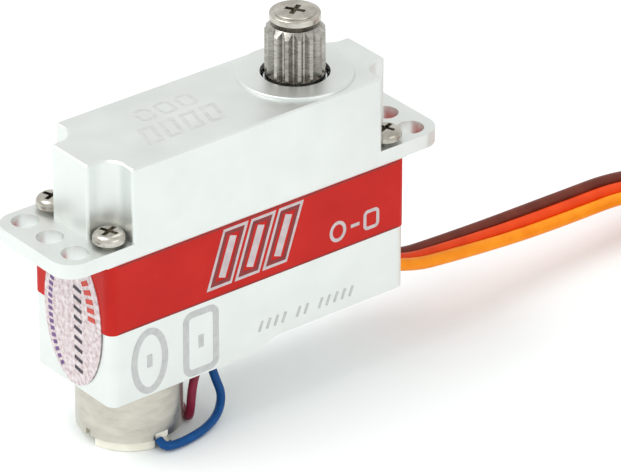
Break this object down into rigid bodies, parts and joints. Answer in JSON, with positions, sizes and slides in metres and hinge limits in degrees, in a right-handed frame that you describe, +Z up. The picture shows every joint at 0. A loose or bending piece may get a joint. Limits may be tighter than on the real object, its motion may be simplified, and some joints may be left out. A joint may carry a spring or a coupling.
{
  "type": "servo motor",
  "caption": "Slim metal-cased wing servo with end lugs, splined output shaft, coreless motor standing out of the case bottom, and a flat three-wire lead with plug.",
  "frame": {"origin": "on the standing surface, under the middle of the case, at the lowest face of the motor's end cap", "axes": "+X along the case towards the output shaft and the lead, +Z up along the output shaft, -Y out of the labelled face"},
  "size_m": [0.0732, 0.0327, 0.0254],
  "materials": {
    "top_case": "satin anodised",
    "lower_case": "satin anodised",
    "plate": "machined",
    "band": "satin printed film",
    "seal": "printed film",
    "screw_steel": "zinc plated",
    "shaft_steel": "ground",
    "gear_steel": "cut",
    "gear_brass": "cut",
    "bearing_steel": "polished",
    "motor_can": "nickel plated",
    "ivory_plastic": "moulded",
    "terminal_tin": "tinned",
    "magnet": "sintered",
    "coil_copper": "enamelled wire",
    "blue_wire": "PVC",
    "crimson_wire": "PVC",
    "black_plastic": "moulded",
    "board_green": "solder mask",
    "chip_black": "epoxy",
    "grommet_rubber": "moulded",
    "lead_orange": "PVC",
    "contact_metal": "plated",
    "tie_film": "thin film"
  },
  "bodies": {
    "case": {"top_case": "top_case", "lower_case": "lower_case", "gear_plate": "plate", "wrap_label": "band", "oval_seal": "seal", "case_screws": "screw_steel", "upper_bearing_outer_ring": "bearing_steel", "lower_bearing_outer_ring": "bearing_steel", "pin_a": "shaft_steel", "pin_b": "shaft_steel", "pin_c": "shaft_steel", "motor_can": "motor_can", "motor_magnet": "magnet", "motor_end_cap": "ivory_plastic", "motor_terminals": "terminal_tin", "pot_body": "black_plastic", "control_board": "board_green", "board_chips": "chip_black", "pot_legs": "terminal_tin", "motor_wire_blue": "blue_wire", "motor_wire_red": "crimson_wire", "lead_grommet": "grommet_rubber", "lead_cores": "lead_orange", "lead": "lead_orange", "lead_coil": "lead_orange", "plug_housing": "black_plastic", "plug_contacts": "contact_metal", "lead_tie": "tie_film"},
    "output": {"output_shaft": "shaft_steel", "output_gear": "gear_steel", "horn_screw": "screw_steel", "upper_bearing_inner_ring": "bearing_steel", "lower_bearing_inner_ring": "bearing_steel", "pot_wiper": "ivory_plastic"},
    "gear_c": {"gear_c": "gear_steel"},
    "gear_b": {"gear_b": "gear_brass"},
    "gear_a": {"gear_a": "gear_brass"},
    "rotor": {"rotor_cup": "coil_copper", "motor_shaft": "shaft_steel", "motor_pinion": "gear_brass"},
    "upper_balls": {"upper_bearing_balls": "bearing_steel"},
    "lower_balls": {"lower_bearing_balls": "bearing_steel"}
  },
  "joints": [
    {"name": "output_spin", "type": "hinge", "parent": "case", "child": "output", "pos_m": [0.00595, 0, 0.018], "axis": [0, 0, 1], "range_deg": [-60, 60]},
    {"name": "gear_c_spin", "type": "hinge", "parent": "case", "child": "gear_c", "pos_m": [0.00195, 0, 0.0165], "axis": [0, 0, 1], "range_deg": [-181, 181]},
    {"name": "gear_b_spin", "type": "hinge", "parent": "case", "child": "gear_b", "pos_m": [-0.00125, 0, 0.0157], "axis": [0, 0, 1], "range_deg": [-541, 541]},
    {"name": "gear_a_spin", "type": "hinge", "parent": "case", "child": "gear_a", "pos_m": [-0.00425, 0, 0.015], "axis": [0, 0, 1], "range_deg": [-1486, 1486]},
    {"name": "motor_spin", "type": "hinge", "parent": "case", "child": "rotor", "pos_m": [-0.00745, 0, 0.008], "axis": [0, 0, 1], "range_deg": [-4456, 4456]},
    {"name": "upper_cage_spin", "type": "hinge", "parent": "case", "child": "upper_balls", "pos_m": [0.00595, 0, 0.0197], "axis": [0, 0, 1], "range_deg": [-25.2, 25.2]},
    {"name": "lower_cage_spin", "type": "hinge", "parent": "case", "child": "lower_balls", "pos_m": [0.00595, 0, 0.0138], "axis": [0, 0, 1], "range_deg": [-26.1, 26.1]}
  ],
  "couplings": [
    {"joint": "gear_c_spin", "follows": "output_spin", "ratio": -3},
    {"joint": "gear_b_spin", "follows": "output_spin", "ratio": 9},
    {"joint": "gear_a_spin", "follows": "output_spin", "ratio": -24.75},
    {"joint": "motor_spin", "follows": "output_spin", "ratio": 74.25},
    {"joint": "upper_cage_spin", "follows": "output_spin", "ratio": 0.41111},
    {"joint": "lower_cage_spin", "follows": "output_spin", "ratio": 0.42667}
  ]
}
